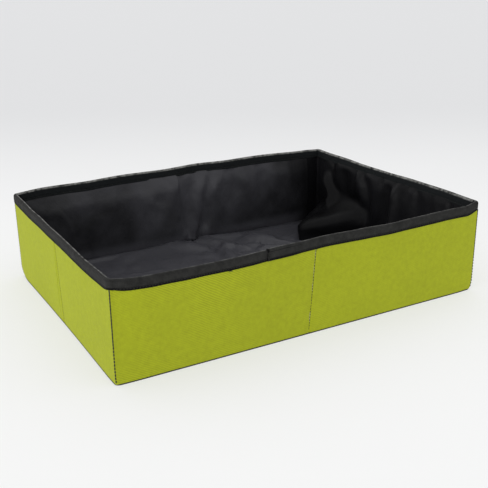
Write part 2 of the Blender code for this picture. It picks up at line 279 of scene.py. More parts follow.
class TrayShape(bpy.types.PropertyGroup):
    """Sizes of the tray's cloth, tape and thread."""

    front_lean: length("Front lean", "How far the front rim leans out", 0.0113)
    back_lean: length("Back lean", "How far the back rim leans out", 0.0081)
    rim_rise: length("Rim rise", "How far the long rims arch up", 0.0020)
    rim_wave: length("Rim wave", "How far the rim wanders in and out", 0.0007)
    rim_dip: length("Rim dip", "How far the rim wanders up and down", 0.0013)
    foot_draw: length("Foot draw", "How far the left wall's foot is drawn in", 0.0015)
    tuck: length("Foot tuck", "How far the corners are drawn in at the foot", 0.0050)
    tuck_reach: length("Tuck reach", "How far from a corner the foot is drawn in", 0.016)
    tuck_height: length("Tuck height", "How high the drawn-in foot reaches", 0.016)
    cover_thickness: length("Cover thickness", "Thickness of the green cloth", 0.0005)
    cover_radius: length("Cover corner radius", "Radius of the cover's corners", 0.0036)
    cover_puff: length("Cover puff", "How far the cover stands off its boards", 0.0006)
    crease_depth: length("Crease depth", "Depth of the stitched middle creases", 0.0009)
    crease_width: length("Crease width", "Half the width of the middle creases", 0.0014)
    crease_slant: length("Crease slant", "How far the front crease slants", 0.0054)
    crease_shift: length("Crease shift", "How far left of the middle the front crease starts", 0.0033)
    strip_reach: length("Fold strip reach", "Half the width of a strip over a fold", 0.0062)
    tape_thickness: length("Tape thickness", "Thickness of the rim tape", 0.0007)
    tape_top_round: length("Tape top radius", "Radius of the tape's top edges", 0.0021)
    tape_puff: length("Tape puff", "How far the tape swells beside its stitches", 0.0004)
    tape_wave: length("Tape wave", "How far the tape's lower edges wander", 0.0005)
    tape_lap: length("Tape lap", "How far the tape's ends lie over each other", 0.0120)
    lap_place: length("Lap place", "Where the tape's ends meet on the front rim", -0.070, least=-1.0)
    lining_thickness: length("Lining thickness", "Thickness of the black nylon", 0.0004)
    bag_cell: length("Bag cell", "Size of the cells in which the lining falls", 0.0070)
    bag_ease: number("Bag ease", "How much larger the lining is than the tray", 0.033)
    bag_bending: number("Bag stiffness", "How stiff the lining is against bending", 20.0)
    fold_room: length("Fold room", "How far the lining may stand off where walls fold", 0.0012)
    middle_room: length("Middle room", "How much further it may stand off between folded walls", 0.0060)
    side_sag: length("Side sag", "How far the lining of a short wall may sag", 0.030)
    slump: length("Slump", "How far the right wall's lining slumps over the floor", 0.100)
    slump_place: length("Slump place", "Where the slump is widest, from the middle", 0.095)
    slump_width: length("Slump width", "Half the length of the slump", 0.040)
    slump_height: length("Slump height", "How high the slump reaches", 0.062)
    fold_height: length("Fold height", "Height of the wall lining's main folds", 0.0062)
    fold_keep: number("Fold keep", "How much of the main folds is added after the fall", 0.8)
    fold_width: length("Fold width", "Half width of the wall lining's folds", 0.0100)
    fold_margin: length("Fold margin", "How far from a seam the folds fade out", 0.007)
    floor_fold_height: length("Floor fold height", "Height of the floor's folds", 0.0054)
    floor_fold_width: length("Floor fold width", "Half width of the floor's folds", 0.0150)
    bottom_radius: length("Bottom corner radius", "Corner radius of the bottom panel", 0.009)
    thread_radius: length("Thread radius", "Half the thickness of the thread", 0.00030)
    stitch_pitch: length("Stitch pitch", "From one tape stitch to the next", 0.0032)
    corner_pitch: length("Corner stitch pitch", "From one corner stitch to the next", 0.0040)
    crease_pitch: length("Crease stitch pitch", "From one crease stitch to the next", 0.0036)
    stitch_rise: length("Stitch height on tape", "From the tape's lower edge to its stitches", 0.0022)


class TrayColors(bpy.types.PropertyGroup):
    """Colours of the tray and its stage."""

    cover: paint("Cover", "Green oxford cloth", (0.330, 0.370, 0.008))
    tape: paint("Tape", "Charcoal rim tape", (0.0195, 0.0195, 0.0185))
    inner_tape: paint("Inner tape", "The tape's inner half, in the shade", (0.0075, 0.0092, 0.0102))
    lining: paint("Lining", "Black nylon lining", (0.0155, 0.0155, 0.0180))
    board: paint("Board", "Stiff grey board", (0.55, 0.54, 0.50))
    bottom: paint("Bottom", "Black bottom cloth", (0.018, 0.018, 0.018))
    thread: paint("Thread", "Black sewing thread", (0.005, 0.006, 0.003))
    floor: paint("Floor", "Pale studio floor", (0.92, 0.923, 0.925))
    backdrop: paint("Backdrop", "The floor far behind the tray", (0.735, 0.74, 0.75))


class Values:
    """Plain copies of the scene's tray values, which are quicker to read."""


size = Values()
color = Values()


def read_values():
    """Copies the sizes and colours that the sidebar shows."""
    scene = bpy.context.scene
    for values, group in ((size, scene.tray_shape), (color, scene.tray_colors)):
        for name in group.__annotations__:
            setattr(values, name, getattr(group, name))


class TrayStep:
    """What the operators share: each reads the sidebar's values, then makes its pieces."""

    def execute(self, context):
        read_values()
        self.make()
        return {"FINISHED"}


def half_length(wall):
    return LENGTH / 2 if wall in LONG_WALLS else WIDTH / 2


def wall_distance(wall):
    return WIDTH / 2 if wall in LONG_WALLS else LENGTH / 2


def body_of(wall, half):
    return f"{wall}_wall" if wall in LONG_WALLS else f"{wall}_wall_{half}"


def smooth_step(value):
    value = min(max(value, 0.0), 1.0)
    return value * value * (3 - 2 * value)


def bell(offset, width):
    """1 at no offset, fading out smoothly over a width."""
    away = offset / width
    return exp(-away * away)


def spread(start, end, cell):
    """Evenly spaced places from start to end, at most a cell apart."""
    steps = max(ceil(abs(end - start) / cell - TINY), 1)
    return [start + (end - start) * step / steps for step in range(steps + 1)]


def spline(points, place):
    """A smooth curve through points, read at a place."""
    if place <= points[0][0]:
        return points[0][1]
    for index in range(len(points) - 1):
        (x0, y0), (x1, y1) = points[index], points[index + 1]
        if place <= x1:
            before = points[max(index - 1, 0)]
            after = points[min(index + 2, len(points) - 1)]
            slope0 = (y1 - before[1]) / (x1 - before[0])
            slope1 = (after[1] - y0) / (after[0] - x0)
            step = x1 - x0
            t = (place - x0) / step
            return (
                y0 * (1 + 2 * t) * (1 - t) ** 2
                + y1 * t * t * (3 - 2 * t)
                + step * slope0 * t * (1 - t) ** 2
                - step * slope1 * t * t * (1 - t)
            )
    return points[-1][1]


def drift(point, wander):
    """A smooth wander between -1 and 1."""
    scale, seed = WANDERS[wander]
    return noise.noise(Vector((point.x * scale, point.y * scale, point.z * scale + seed)))


def near_wall(value, span, zone):
    """1 toward the walls at both ends of a span, 0 well inside the tray."""
    start, reach = zone
    return smooth_step((abs(value) - span * start) / (span * reach))


def long_wall_at(point):
    """The long wall on a place's side, its lean, and the share of it that this place has."""
    wall = "front" if point.y < 0 else "back"
    lean = size.front_lean if wall == "front" else size.back_lean
    return wall, lean, spline(LEAN_SHARES[wall], point.x / (LENGTH / 2))


def settle(point):
    """Where the soft tray has a place of the straight one."""
    share = point.z / HEIGHT
    side_x = -1 if point.x < 0 else 1
    side_y = -1 if point.y < 0 else 1
    flat = Vector((point.x, point.y, 0))
    near_long = near_wall(point.y, WIDTH, LONG_ZONE)
    near_short = near_wall(point.x, LENGTH, SHORT_ZONE)
    wall, lean, lean_share = long_wall_at(point)
    lean_share = lean_share * share * near_long
    wave = drift(flat, "rim_wave") * size.rim_wave * share
    moved = point.copy()
    moved.y += side_y * (lean * lean_share + wave * min(lean_share * 3, 1))
    rise_share = lean_share
    if wall == "front":
        rise_share = spline(RISE_SHARES["front"], point.x / (LENGTH / 2)) * near_long
    rise_share += spline(RISE_SHARES["left" if side_x < 0 else "right"], point.y / (WIDTH / 2)) * near_short
    moved.z += size.rim_rise * rise_share * share
    moved.z += drift(flat, "rim_dip") * size.rim_dip * share * share
    if side_x < 0:
        bow = cos(pi / 2 * min(abs(point.y) / (WIDTH / 2), 1))
        moved.x += size.foot_draw * (1 - share) * bow * near_short
    from_corner = hypot(LENGTH / 2 - abs(point.x), WIDTH / 2 - abs(point.y))
    tuck = size.tuck * TUCK_SHARES[(side_x, side_y)] * bell(from_corner, size.tuck_reach)
    tuck *= smooth_step(1 - point.z / size.tuck_height) ** 1.5
    moved.x -= side_x * tuck / sqrt(2)
    moved.y -= side_y * tuck / sqrt(2)
    return moved


class Quarter:
    """A corner of the tray with half of the wall on each side of it.

    Along is 0 at the corner and negative on the wall before it."""

    def __init__(self, name, turns, before, after):
        self.name = name
        self.before = before
        self.after = after
        turn = Matrix.Rotation(radians(90) * turns, 4, "Z")
        reach = (-half_length(after[0]), -wall_distance(after[0]), 0)
        self.matrix = turn @ Matrix.Translation(reach)
        self.start = -self.along_at(half_length(before[0]))
        self.end = self.along_at(half_length(after[0]))

    @staticmethod
    def along_at(distance):
        """The place along that is a distance from the sharp corner."""
        return distance - CORNER_RADIUS + ARC / 2

    def straight(self, along, depth, up, radius=None):
        """A place on the straight tray. A sharper corner leaves the walls' places as they are."""
        radius = radius or CORNER_RADIUS
        half_arc = radius * pi / 4
        reach = CORNER_RADIUS - radius + half_arc
        if abs(along) < ARC / 2:
            along *= reach / (ARC / 2)
        else:
            along += copysign(reach - ARC / 2, along)
        if along > half_arc:
            x, y = radius + along - half_arc, depth
        elif along < -half_arc:
            x, y = depth, radius - along - half_arc
        else:
            angle = radians(225) + along / radius
            x = radius + (radius - depth) * cos(angle)
            y = radius + (radius - depth) * sin(angle)
        return self.matrix @ Vector((x, y, up))

    def place(self, along, depth, up, radius=None):
        return settle(self.straight(along, depth, up, radius))

    def parts(self, layer):
        """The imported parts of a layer: of both half walls and of the corner."""
        walls = [f"{wall}_wall_{layer}_{half}" for wall, half in (self.before, self.after)]
        return walls + [f"corner_{layer}_{self.name}"]

    def ends(self):
        """Where this corner's sheets start and end: short of a folding seam, or at a wall's middle."""
        start = self.start + (size.strip_reach if self.before[0] == "left" else 0)
        end = self.end - (size.strip_reach if self.after[0] == "left" else 0)
        return start, end

    def columns(self, start, end, cell):
        """Places along, closer together round the corner."""
        arc = ARC / 2
        return spread(start, -arc, cell) + spread(-arc, arc, ARC / 14)[1:] + spread(arc, end, cell)[1:]

    def blend(self, obj):
        """Bakes a piece's place into its mesh."""
        start, end = (self.straight(sign * ARC * 0.62, 0, 0) for sign in (-1, 1))
        body_of(*self.before)
        body_of(*self.after)
        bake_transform(obj)
        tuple(start)
        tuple(end)


QUARTERS = [
    Quarter("front_left", 0, ("left", "front"), ("front", "left")),
    Quarter("front_right", 1, ("front", "right"), ("right", "front")),
    Quarter("back_right", 2, ("right", "back"), ("back", "right")),
    Quarter("back_left", 3, ("back", "left"), ("left", "back")),
]


def blend_left_fold(obj):
    """Bakes a piece's place into its mesh."""
    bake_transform(obj)


def add_object(name, data):
    obj = bpy.data.objects.new(name, data)
    bpy.context.scene.collection.objects.link(obj)
    return obj


def mesh_object(name, bm):
    mesh = bpy.data.meshes.new(name)
    bm.to_mesh(mesh)
    bm.free()
    return add_object(name, mesh)


def new_piece(name, bm, slot, surface, thickness=0.0):
    """A named piece with its place in its mesh. A cut edge stays sharp when it is thickened."""
    for edge in bm.edges:
        edge.smooth = not edge.is_boundary
    obj = mesh_object(name, bm)
    obj.data.shade_smooth()
    obj.data.materials.append(surface)
    if thickness:
        obj.modifiers.new("Thickness", "SOLIDIFY").thickness = thickness
    return obj


def draw_uv(bm, flat_place):
    """Keeps each point's place on the flat cloth in a UV map."""
    uv = bm.loops.layers.uv.new("Cloth")
    for face in bm.faces:
        for loop in face.loops:
            loop[uv].uv = flat_place(loop.vert)


def cloth_sheet(columns, rows, place, flip=False):
    """A sheet of cloth. place gives each point from its column and row, which the UV map keeps."""
    bm = bmesh.new()
    last_column, last_row = len(columns) - 1, len(rows) - 1
    bmesh.ops.create_grid(bm, x_segments=last_column, y_segments=last_row, size=0.5)
    cells = {}
    for vert in bm.verts:
        column = columns[round((vert.co.x + 0.5) * last_column)]
        row = rows[round((vert.co.y + 0.5) * last_row)]
        cells[vert] = (column, row)
    draw_uv(bm, lambda vert: cells[vert])
    for vert, (column, row) in cells.items():
        vert.co = place(column, row)
    if flip:
        bmesh.ops.reverse_faces(bm, faces=bm.faces)
    return bm


class Shade:
    """One value of a material's nodes, which Python's operators combine."""

    def __init__(self, tree, socket):
        self.tree = tree
        self.socket = socket

    def maths(self, operation, *values):
        return add_node(self.tree, "ShaderNodeMath", {"operation": operation}, dict(enumerate(values)))

    def __add__(self, other):
        return self.maths("ADD", self, other)

    def __radd__(self, other):
        return self.maths("ADD", other, self)

    def __sub__(self, other):
        return self.maths("SUBTRACT", self, other)

    def __rsub__(self, other):
        return self.maths("SUBTRACT", other, self)

    def __mul__(self, other):
        return self.maths("MULTIPLY", self, other)

    def __rmul__(self, other):
        return self.maths("MULTIPLY", other, self)

    def magnitude(self):
        return self.maths("ABSOLUTE", self)

    def ripple(self, pitch, wander=None):
        """Waves along this place, a pitch apart, which may wander."""
        turns = self * (2 * pi / pitch)
        return self.maths("SINE", turns if wander is None else turns + wander)

    def between(self, low, high):
        """0 below low, 1 above high."""
        values = {"Value": self, "From Min": low, "From Max": high}
        return add_node(self.tree, "ShaderNodeMapRange", {"interpolation_type": "SMOOTHSTEP"}, values)


def add_node(tree, kind, settings, values, output=0):
    """Adds a node: its settings first, then the values or links of its sockets."""
    node = tree.nodes.new(kind)
    for name, value in settings.items():
        setattr(node, name, value)
    for name, value in values.items():
        socket = node.inputs[name]
        if isinstance(value, Shade):
            tree.links.new(value.socket, socket)
        else:
            socket.default_value = value
    return Shade(tree, node.outputs[output])


def tone(base, factor=1.0):
    """A colour with its alpha, made lighter or darker."""
    return (*(min(part * factor, 1.0) for part in base), 1.0)


class Finish:
    """A material whose surface takes its pattern from the cloth's own UV map or from its place."""

    def __init__(self, name, roughness, **constants):
        self.material = bpy.data.materials.new(name)
        self.material.use_nodes = True
        self.tree = self.material.node_tree
        self.shader = self.tree.nodes["Principled BSDF"]
        self.shader.inputs["Roughness"].default_value = roughness
        for socket, value in constants.items():
            self.shader.inputs[socket.replace("_", " ")].default_value = value

    def set(self, socket, value):
        self.tree.links.new(value.socket, self.shader.inputs[socket])

    def place(self):
        return add_node(self.tree, "ShaderNodeTexCoord", {}, {}, output="Object")

    def axis(self, index):
        """One coordinate of the object's place."""
        return add_node(self.tree, "ShaderNodeSeparateXYZ", {}, {0: self.place()}, output=index)

    def cloth_places(self):
        """Along and across the cloth, in metres."""
        uv = add_node(self.tree, "ShaderNodeUVMap", {"uv_map": "Cloth"}, {})
        return [add_node(self.tree, "ShaderNodeSeparateXYZ", {}, {0: uv}, output=index) for index in (0, 1)]

    def speckle(self, scale, detail=2.0, roughness=0.5, stretch=(1, 1, 1)):
        """Noise on the object's place, stretched where asked."""
        place = add_node(self.tree, "ShaderNodeMapping", {}, {"Vector": self.place(), "Scale": stretch})
        values = {"Vector": place, "Scale": scale, "Detail": detail, "Roughness": roughness}
        return add_node(self.tree, "ShaderNodeTexNoise", {}, values)

    def mix(self, factor, first, second):
        """One colour turning into another."""
        values = {0: factor, 6: first, 7: second}
        return add_node(self.tree, "ShaderNodeMix", {"data_type": "RGBA"}, values, output=2)

    def relief(self, height, distance, strength):
        values = {"Height": height, "Distance": distance, "Strength": strength}
        self.set("Normal", add_node(self.tree, "ShaderNodeBump", {}, values))


def cover_cloth():
    """Green oxford cloth: a plain weave of thick threads with faint ribs and wandering shade."""
    finish = Finish("Green oxford cloth", 0.72, Specular_IOR_Level=0.25)
    along, up = finish.cloth_places()
    weave = along.ripple(pitch=0.00105) * up.ripple(pitch=0.00095) * 0.5 + 0.5
    # Faint slanted ribs, which show in places only
    ribs = (up + along * 0.62).ripple(pitch=0.0029, wander=finish.speckle(55) * 7.0) * 0.5
    mottle = finish.speckle(190, detail=3.0, roughness=0.65)
    clouds = finish.speckle(11)
    right = finish.axis(0).between(-0.08, 0.05)
    shown = clouds.between(0.35, 0.65) * (1 - right * 0.85)
    shade = weave * 0.26 + ribs * shown * 0.42 + mottle * 0.52 + clouds * 0.20
    green = color.cover
    finish.set("Base Color", finish.mix(shade.between(0.12, 0.86), tone(green, 0.80), tone(green, 1.20)))
    finish.set("Roughness", 0.66 + weave * 0.12)
    finish.relief(weave * 0.6 + mottle * 0.6 + ribs * 0.3, distance=0.00016, strength=0.6)
    return finish.material


def tape_webbing():
    """Charcoal tape with fine ribs across it; the pale line on its rim is wear and a painted highlight."""
    finish = Finish("Charcoal tape", 0.82, Specular_IOR_Level=0.16)
    along, across = finish.cloth_places()
    ribs = along.ripple(pitch=0.0016, wander=finish.speckle(60) * 6) * 0.5 + 0.5
    threads = across.ripple(pitch=0.0013, wander=finish.speckle(35) * 8) * 0.5 + 0.5
    wear = finish.speckle(120, detail=3.0, roughness=0.65)
    middle = (across - (TAPE_REACH / 2 + 0.0010)).magnitude()
    rim = 1 - middle.between(0.0008, 0.0024)
    charcoal = color.tape
    grain = (ribs * 0.08 + threads * 0.32 + wear * 0.6).between(0.25, 0.75)
    outside = finish.mix(grain, tone(charcoal, 0.40), tone(charcoal, 1.7))
    # Painted shade: darker at the outer foot, and darker all over on the inner half, which lies in shade
    foot = 1 - across.between(0.0018, 0.0045)
    outside = finish.mix(foot * 0.95, outside, tone(charcoal, 0.05))
    inner = across.between(TAPE_REACH * 0.52, TAPE_REACH * 0.62)
    plain = finish.mix(inner, outside, tone(color.inner_tape))
    # A pale line along the rim's top, broken up by the wear: partly wear and partly a painted highlight
    wear_and_sheen = finish.mix(rim * wear.between(0.3, 0.65), plain, tone(charcoal, 12.0))
    # The step of the lap is in deep shade
    lap = (finish.axis(0) - size.lap_place + (wear - 0.5) * 0.004).magnitude()
    lap = (1 - lap.between(0.0008, 0.0020)) * (1 - finish.axis(1).between(-0.17, -0.16))
    finish.set("Base Color", finish.mix(lap, wear_and_sheen, tone(charcoal, 0.02)))
    finish.relief(ribs * 0.2 + threads * 0.6 + wear * 1.4, distance=0.0005, strength=0.9)
    return finish.material


def lining_nylon(name="Black nylon", shine=0.3, deep=None):
    """Black nylon: a tight weave with a soft shine that its small wrinkles break up."""
    finish = Finish(name, 0.42, Specular_IOR_Level=shine)
    wrinkles = finish.speckle(26, detail=4.0, roughness=0.55)
    fine = finish.speckle(420, roughness=0.6)
    clouds = finish.speckle(8, stretch=(1, 1, 0.6))
    # Thin meandering creases, as crumpled nylon has them
    creases = 1 - (finish.speckle(11, detail=1.5, stretch=(1, 1, 0.5)) - 0.5).magnitude().between(0.0, 0.05)
    black = color.lining
    # Painted sheen and fold shade: broad lighter and darker patches, as soft folds and wrinkles catch the
    # light
    wear_and_sheen = wrinkles.between(0.3, 0.7) * 0.35 + clouds.between(0.42, 0.60) * 0.65
    walls = finish.mix(wear_and_sheen, tone(black, 0.55), tone(black, 3.1))
    # Painted light: the floor of the bag is made paler, as it catches more light than the walls
    painted_floor_light = (1 - finish.axis(2).between(0.008, 0.024)) * (0.7 + wrinkles * 0.6)
    paler = finish.mix(painted_floor_light, walls, tone(black, 3.0))
    if deep is None:
        # Painted shade: toward the right end, which lies in deep shade, the colour is darkened
        deep = finish.axis(0).between(0.185, 0.227) * 0.88
    finish.set("Base Color", finish.mix(deep, paler, tone(black, 0.1)))
    finish.set("Roughness", 0.36 + wrinkles * 0.12 + fine * 0.06)
    finish.relief(wrinkles + creases * 0.34 + fine * 0.10, distance=0.0034, strength=0.5)
    return finish.material


def plain_finish(name, base, roughness, grain_scale, grain_depth):
    """A plain material with a fine grain."""
    finish = Finish(name, roughness)
    grain = finish.speckle(grain_scale, detail=3.0, roughness=0.6)
    finish.set("Base Color", finish.mix(grain.between(0.3, 0.7), tone(base, 0.86), tone(base, 1.14)))
    finish.set("Roughness", grain * 0.14 + (roughness - 0.07))
    finish.relief(grain, distance=grain_depth, strength=0.6)
    return finish.material


MAKERS = {
    "cover": cover_cloth,
    "tape": tape_webbing,
    "lining": lining_nylon,
    # A darker copy of the nylon with less shine: painted shade for the pieces at the right end
    "lining_right": lambda: lining_nylon("Deep black nylon", shine=0.09, deep=0.88),
    "board": lambda: plain_finish("Grey board", color.board, 0.6, 300, 0.0001),
    "bottom": lambda: plain_finish("Black bottom cloth", color.bottom, 0.72, 900, 0.0001),
    "thread": lambda: plain_finish("Black thread", color.thread, 0.6, 1500, 0.00005),
}
MADE = {}


def material(key):
    """A material of the tray, made when it is first asked for."""
    if key not in MADE:
        MADE[key] = MAKERS[key]()
    return MADE[key]


def bead(bm, start, end, radius):
    """One stitch: a small rounded bar between two places."""
    along = end - start
    turn = along.to_track_quat("Z", "Y").to_matrix().to_4x4()
    stretch = Matrix.Diagonal((radius, radius, along.length / 2, 1))
    place = Matrix.Translation((start + end) / 2) @ turn @ stretch
    bmesh.ops.create_uvsphere(bm, u_segments=6, v_segments=4, radius=1.0, matrix=place)


def stitch_row(bm, places, thickness=1.0, fill=0.72):
    """Stitches between places that follow each other, with a gap after each."""
    for start, end in zip(places, places[1:]):
        middle = (start + end) / 2
        first, last = (middle + (place - middle) * fill for place in (start, end))
        bead(bm, first, last, size.thread_radius * thickness)


def crease(offset):
    """How far the cloth dips at an offset from a stitched crease."""
    return size.crease_depth * bell(offset, size.crease_width)


def front_slant(up):
    """How far left of the middle the front crease runs at a height."""
    return size.crease_shift + size.crease_slant * (1 - up / HEIGHT)


def crease_offset(quarter, along, up):
    """From the nearer middle crease to a place on a quarter."""
    slant = front_slant(up)
    before, after = along - quarter.start, quarter.end - along
    if quarter.before[0] == "front":
        before += slant
    if quarter.after[0] == "front":
        after -= slant
    return min(abs(before), abs(after))


def cover_place(quarter, along, up):
    """The cover's outer face."""
    radius = size.cover_radius
    offset = crease_offset(quarter, along, up)
    point = quarter.straight(along, COVER_OUTER, up, radius)
    puff = 0.5 + 0.5 * drift(point, "cover_puff")
    puff *= smooth_step(offset / CREASE_FLAT) * smooth_step(abs(along) / CORNER_FLAT)
    between_edges = COVER_FOOT < up < COVER_TOP
    puff *= sin(pi * (up - COVER_FOOT) / (COVER_TOP - COVER_FOOT)) ** 0.5 if between_edges else 0
    depth = COVER_OUTER - size.cover_puff * puff + crease(offset)
    press = CORNER_PRESS * smooth_step((up - TAPE_FOOT) / 0.002)
    depth += press * (1 - smooth_step(abs(along) / CORNER_PRESS_REACH))
    return quarter.place(along, depth, up, radius)


def left_crease(quarter, up):
    """Where the left wall's crease runs: it slants across the fold."""
    return quarter.start + LEFT_CREASE_START - LEFT_CREASE_SLANT * up / HEIGHT


def cover_strip_place(quarter, along, up):
    """The cover's outer face over the left wall's fold."""
    depth = COVER_OUTER + crease(abs(along - left_crease(quarter, up)))
    return quarter.place(along, depth, up, size.cover_radius)


class Band(TrayStep):
    """What the cover and the tape share: a sheet round each corner and a strip over the left fold."""

    def sew(self, name, columns, place, reach, rests_on):
        bm = cloth_sheet(columns, self.rows(), place)
        thickness = getattr(size, f"{self.kind}_thickness")
        obj = new_piece(f"{self.kind}_{name}", bm, self.slot, material(self.kind), thickness)
        self.width()
        return obj

    def strip(self, place, rests_on):
        quarter = QUARTERS[0]
        reach = size.strip_reach
        columns = spread(quarter.start - reach, quarter.start + reach, STRIP_CELL)
        obj = self.sew("left_fold", columns, lambda *cell: place(quarter, *cell), 2 * reach, rests_on)
        blend_left_fold(obj)
        return obj


class TRAY_OT_cover(Band, bpy.types.Operator):
    """Sews the green cover: a cloth quarter round each corner, creased at the walls' middles"""

    bl_idname = "tray.cover"
    bl_label = "Cover"
    kind = "cover"
    slot = "cover_cloth"
    held = "stretched"

    def make(self):
        for quarter in QUARTERS:
            self.sheet(quarter, *quarter.ends())
        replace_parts(self.strip(cover_strip_place, "left_wall_board_front"), "left_wall_seam")

    def rows(self):
        return spread(COVER_FOOT + 0.0004, COVER_TOP, COVER_CELL)

    def width(self):
        return COVER_TOP - COVER_FOOT

    def sheet(self, quarter, start, end):
        columns = quarter.columns(start, end, COVER_CELL)
        for wall_end in (start, end):
            columns += [wall_end + sign * step * CREASE_CELL for sign in (-1, 1) for step in range(1, 8)]
        columns = sorted(column for column in set(columns) if start <= column <= end)
        board = quarter.parts("board")[0]
        obj = self.sew(quarter.name, columns, lambda *cell: cover_place(quarter, *cell), end - start, board)
        nodes = quarter.parts("cover")
        # The left wall's seam has its own strip
        if quarter.after[0] != "left":
            nodes.append(f"{quarter.after[0]}_wall_seam")
        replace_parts(obj, *nodes)
        quarter.blend(obj)


def tape_profile(across):
    """(depth, up, side) of the tape's outer face, from its outer foot over the rim to its inner."""
    round_top = size.tape_top_round
    leg = HEIGHT - TAPE_FOOT - round_top
    arc = round_top * pi / 2
    top = TAPE_INNER - 2 * round_top
    if across <= leg:
        return 0.0, TAPE_FOOT + across, 1
    across -= leg
    if across <= arc:
        angle = across / round_top
        return round_top * (1 - cos(angle)), HEIGHT - round_top * (1 - sin(angle)), 0
    across -= arc
    if across <= top:
        return round_top + across, HEIGHT, 0
    across -= top
    if across <= arc:
        angle = across / round_top
        return TAPE_INNER - round_top * (1 - sin(angle)), HEIGHT - round_top * (1 - cos(angle)), 0
    across -= arc
    return TAPE_INNER, HEIGHT - round_top - across, -1


def tape_length():
    """The tape's width, measured over the rim."""
    round_top = size.tape_top_round
    return 2 * (HEIGHT - TAPE_FOOT - round_top) + pi * round_top + TAPE_INNER - 2 * round_top


def lap_start():
    """Where the lapped tape starts, along the front right quarter."""
    return -Quarter.along_at(LENGTH / 2 - size.lap_place)


def lap_height(quarter, along):
    """How far the tape lies over its other end."""
    if quarter.name != "front_right":
        return 0.0
    past = (along - lap_start()) / (size.tape_lap * 3)
    return (size.tape_thickness + LAP_GAP) * (1 - smooth_step(past - 0.5))


def tape_place(quarter, along, across):
    """The tape's outer face."""
    depth, up, side = tape_profile(across)
    lap = lap_height(quarter, along)
    if side:
        from_foot = up - TAPE_FOOT
        groove = bell(from_foot - size.stitch_rise, GROOVE_WIDTH)
        swell = size.tape_puff * (1 - GROOVE_DEPTH * groove) * smooth_step(from_foot / 0.001)
        point = quarter.straight(along, depth, up)
        swell *= 0.6 + 0.5 * drift(point, "tape_puff")
        depth -= side * swell
        wander = size.tape_wave * drift(Vector((point.x, point.y, side)), "tape_wave")
        # The tape is drawn up at the corners
        wander += CORNER_PULL * bell(along, CORNER_PULL_REACH)
        up += wander * (1 - smooth_step(from_foot / TAPE_WAVE_HEIGHT))
        depth -= side * lap
    else:
        up += lap
    return quarter.place(along, depth, up)


class TRAY_OT_tape(Band, bpy.types.Operator):
    """Folds the charcoal tape over the rim, its ends lapped on the front wall"""

    bl_idname = "tray.tape"
    bl_label = "Rim tape"
    kind = "tape"
    slot = "binding_tape"
    held = "folded"

    def make(self):
        for quarter in QUARTERS:
            self.sheet(quarter, *quarter.ends())
        self.strip(tape_place, "cover_left_fold")

    def rows(self):
        """Places across the tape, closer together at its feet and top."""
        total = tape_length()
        shoulder = total / 2 - TAPE_TOP_BAND
        half = spread(0.0, TAPE_FOOT_BAND, 0.0005)
        half += spread(TAPE_FOOT_BAND, shoulder, 0.0022)[1:]
        half += spread(shoulder, total / 2, 0.0007)[1:]
        return half + [total - place for place in reversed(half[:-1])]

    def width(self):
        return tape_length()

    def sheet(self, quarter, start, end):
        if quarter.name == "front_left":
            end = quarter.along_at(LENGTH / 2 + size.lap_place + size.tape_lap)
        if quarter.name == "front_right":
            start = lap_start()
        columns = quarter.columns(start, end, TAPE_CELL)
        cover = f"cover_{quarter.name}"
        obj = self.sew(quarter.name, columns, lambda *cell: tape_place(quarter, *cell), end - start, cover)
        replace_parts(obj, *quarter.parts("tape"))
        quarter.blend(obj)


def distance_to_fold(point, start, end):
    along = end - start
    share = (point - start).dot(along) / along.length_squared
    return (point - start - along * min(max(share, 0.0), 1.0)).length


def fold_lift(point, extent, folds, height, width):
    """How far the main folds lift a place of a panel: soft ridges, flat at its edges."""
    lift = 0.0
    for start_x, start_y, end_x, end_y, height_share, width_share in folds:
        start = Vector((start_x * extent.x, start_y * extent.y))
        end = Vector((end_x * extent.x, end_y * extent.y))
        ridge = bell(distance_to_fold(point, start, end), width * width_share)
        lift = max(lift, height * height_share * ridge)
    edge = min(point.x, extent.x - point.x, point.y, extent.y - point.y)
    return lift * smooth_step(edge / size.fold_margin)


